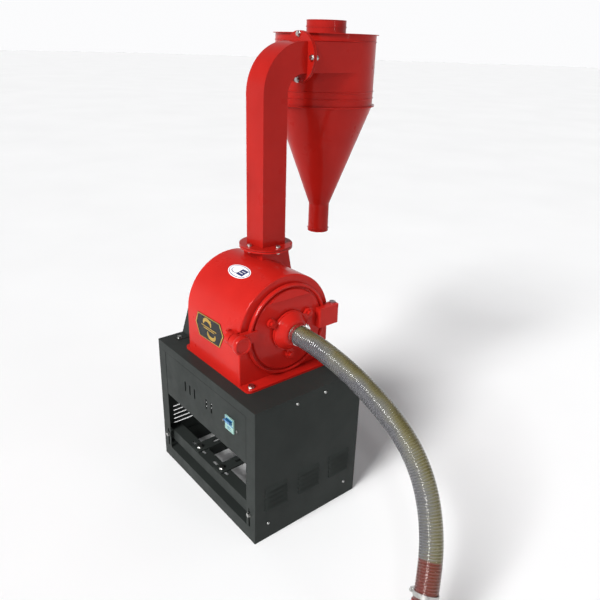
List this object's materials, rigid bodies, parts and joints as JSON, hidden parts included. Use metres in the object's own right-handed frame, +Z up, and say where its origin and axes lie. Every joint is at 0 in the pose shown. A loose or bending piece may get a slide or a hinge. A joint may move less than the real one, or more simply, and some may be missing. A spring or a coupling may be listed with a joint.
{
  "type": "hammer mill",
  "caption": "Self-priming hammer mill: round casing with hinged feed door and suction hose, riser duct to a cyclone, on a sheet-metal stand with a motor platform.",
  "frame": {"origin": "centre of the stand's footprint, on the floor", "axes": "+Z up; the rotor shaft runs along Y, the feed door and hose face -Y, the belt pulley is at the +Y end; +X is toward the cyclone"},
  "size_m": [0.8037, 1.2731, 1.51],
  "materials": {
    "red_cast": "glossy red enamel on casting",
    "red_sheet": "glossy red enamel on sheet steel",
    "grey_sheet": "dark grey satin powder coat",
    "dark_plastic": "glossy red hand knob",
    "zinc": "zinc plated",
    "steel": "machined bare steel",
    "dark_steel": "bare dark steel",
    "rubber": "black gasket rubber",
    "hose": "clear olive-grey plastic with steel wire",
    "breaker_shell": "pale green-white moulding",
    "breaker_blue": "blue moulding",
    "badge": "black plate with gold edge",
    "sticker": "white film"
  },
  "bodies": {
    "stand": {"cabinet_frame": "grey_sheet", "cabinet_top": "grey_sheet", "front_panel": "grey_sheet", "back_panel": "grey_sheet", "side_panel_feed": "grey_sheet", "side_panel_belt": "grey_sheet", "panel_screws": "zinc", "breaker_body": "breaker_shell", "mill_casing": "red_cast", "screen_ring": "steel", "fan_cover": "red_cast", "fan_cover_bolts": "zinc", "bearing_pedestal": "red_cast", "bearings": "steel", "bearing_caps": "red_cast", "casing_bolts": "zinc", "pedestal_bolts": "zinc", "belt_guard": "grey_sheet", "guard_bolts": "zinc", "name_badge": "badge", "oval_sticker": "sticker", "riser_duct": "red_sheet", "flange_gaskets": "rubber", "flange_bolts": "zinc", "cyclone_barrel": "red_sheet", "cyclone_cone": "red_sheet", "cyclone_lid": "red_sheet", "exhaust_pipe": "red_sheet", "hinge_pin": "steel"},
    "door": {"door": "red_cast", "door_gasket": "rubber", "door_wear_plate": "dark_steel", "inlet_dome": "red_cast", "dome_bolts": "red_cast", "inlet_clamp": "zinc", "suction_hose": "hose", "nozzle_clamp": "zinc", "suction_nozzle": "red_sheet"},
    "air_sleeve": {"air_sleeve": "red_sheet"},
    "clamp_screw": {"clamp_screw": "zinc"},
    "hand_nut": {"hand_nut": "dark_plastic"},
    "shaft": {"main_shaft": "steel", "rotor": "dark_steel", "rotor_nut": "steel", "hammer_pins": "steel", "fan_impeller": "dark_steel", "mill_pulley": "dark_steel", "pulley_nut": "steel"},
    "hammers_1": {"hammers_1": "steel"},
    "hammers_2": {"hammers_2": "steel"},
    "hammers_3": {"hammers_3": "steel"},
    "hammers_4": {"hammers_4": "steel"},
    "motor_platform": {"motor_rail_front": "grey_sheet", "motor_rail_back": "grey_sheet", "rail_bolts": "zinc"},
    "feed_bar": {"cross_bar_feed": "grey_sheet", "feed_bar_bolts": "zinc"},
    "belt_bar": {"cross_bar_belt": "grey_sheet", "belt_bar_bolts": "zinc"},
    "breaker_toggle": {"breaker_toggle": "breaker_blue"}
  },
  "joints": [
    {"name": "door_hinge", "type": "hinge", "parent": "stand", "child": "door", "pos_m": [0.182, -0.164, 0.648], "axis": [0, 0, 1], "range_deg": [0, 105]},
    {"name": "hand_nut_spin", "type": "hinge", "parent": "clamp_screw", "child": "hand_nut", "pos_m": [-0.186, -0.19, 0.65], "axis": [0, -1, 0], "range_deg": [0, 3240]},
    {"name": "clamp_screw_slide", "type": "slide", "parent": "door", "child": "clamp_screw", "axis": [0, -1, 0], "range_m": [0, 0.018]},
    {"name": "shaft_spin", "type": "hinge", "parent": "stand", "child": "shaft", "pos_m": [0.005, 0, 0.635], "axis": [0, 1, 0], "continuous": true},
    {"name": "hammers_1_swing", "type": "hinge", "parent": "shaft", "child": "hammers_1", "pos_m": [0.06157, -0.084, 0.69157], "axis": [0, 1, 0], "continuous": true},
    {"name": "hammers_2_swing", "type": "hinge", "parent": "shaft", "child": "hammers_2", "pos_m": [-0.05157, -0.084, 0.69157], "axis": [0, 1, 0], "continuous": true},
    {"name": "hammers_3_swing", "type": "hinge", "parent": "shaft", "child": "hammers_3", "pos_m": [-0.05157, -0.084, 0.57843], "axis": [0, 1, 0], "continuous": true},
    {"name": "hammers_4_swing", "type": "hinge", "parent": "shaft", "child": "hammers_4", "pos_m": [0.06157, -0.084, 0.57843], "axis": [0, 1, 0], "continuous": true},
    {"name": "platform_height", "type": "slide", "parent": "stand", "child": "motor_platform", "axis": [0, 0, 1], "range_m": [-0.027, 0.02]},
    {"name": "feed_bar_slide", "type": "slide", "parent": "motor_platform", "child": "feed_bar", "axis": [0, 1, 0], "range_m": [-0.03, 0.045]},
    {"name": "belt_bar_slide", "type": "slide", "parent": "motor_platform", "child": "belt_bar", "axis": [0, 1, 0], "range_m": [-0.033, 0.04]},
    {"name": "breaker_switch", "type": "hinge", "parent": "stand", "child": "breaker_toggle", "pos_m": [-0.21, -0.16, 0.385], "axis": [0, -1, 0], "range_deg": [0, 46]},
    {"name": "air_sleeve_slide", "type": "slide", "parent": "door", "child": "air_sleeve", "axis": [0.4547, 0.2779, 0.8462], "range_m": [0, 0.06]}
  ],
  "couplings": [
    {"joint": "clamp_screw_slide", "follows": "hand_nut_spin", "m_per_rad": 0.00031831}
  ]
}
